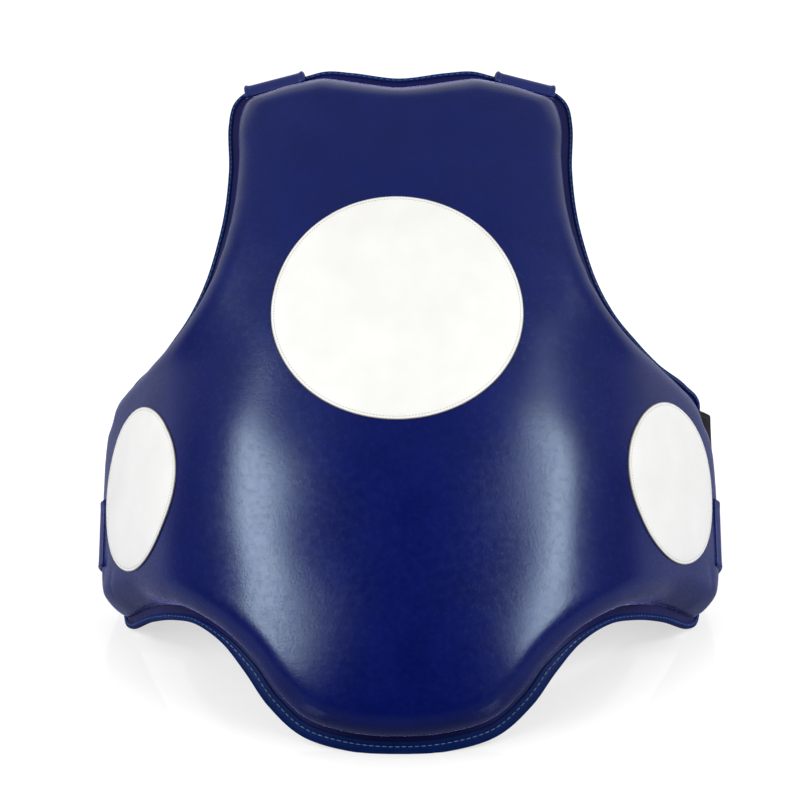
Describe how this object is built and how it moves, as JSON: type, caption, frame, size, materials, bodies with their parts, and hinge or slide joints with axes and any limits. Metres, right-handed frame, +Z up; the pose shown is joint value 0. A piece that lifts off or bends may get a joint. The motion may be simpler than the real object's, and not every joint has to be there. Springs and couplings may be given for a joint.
{
  "type": "trainer body protector",
  "caption": "Padded leather body shield for a trainer: a thick chest and belly pad with wrapping side wings, bare round patches, bound edge, crossed shoulder straps and a waist strap.",
  "frame": {"origin": "middle of the part's footprint, on the floor it stands on", "axes": "+Z up, the padded front faces -Y, +X along the width towards the right of someone facing the front"},
  "size_m": [0.5474, 0.4464, 0.4415],
  "materials": {
    "pad_leather": "smooth satin navy leather",
    "lining": "plain matt navy",
    "binding": "matt woven tape",
    "patch_leather": "satin white leather, bare",
    "strap_leather": "satin navy leather",
    "webbing": "matt black webbing"
  },
  "bodies": {
    "root": {"body_pad": "pad_leather", "backing_panel": "lining", "edge_binding": "binding", "chest_patch": "patch_leather", "side_patch_left": "patch_leather", "side_patch_right": "patch_leather", "shoulder_strap_left": "strap_leather", "shoulder_strap_right": "strap_leather", "strap_tab_left": "webbing", "strap_tab_right": "webbing", "waist_strap_left": "strap_leather", "waist_strap_right": "strap_leather"}
  },
  "joints": []
}
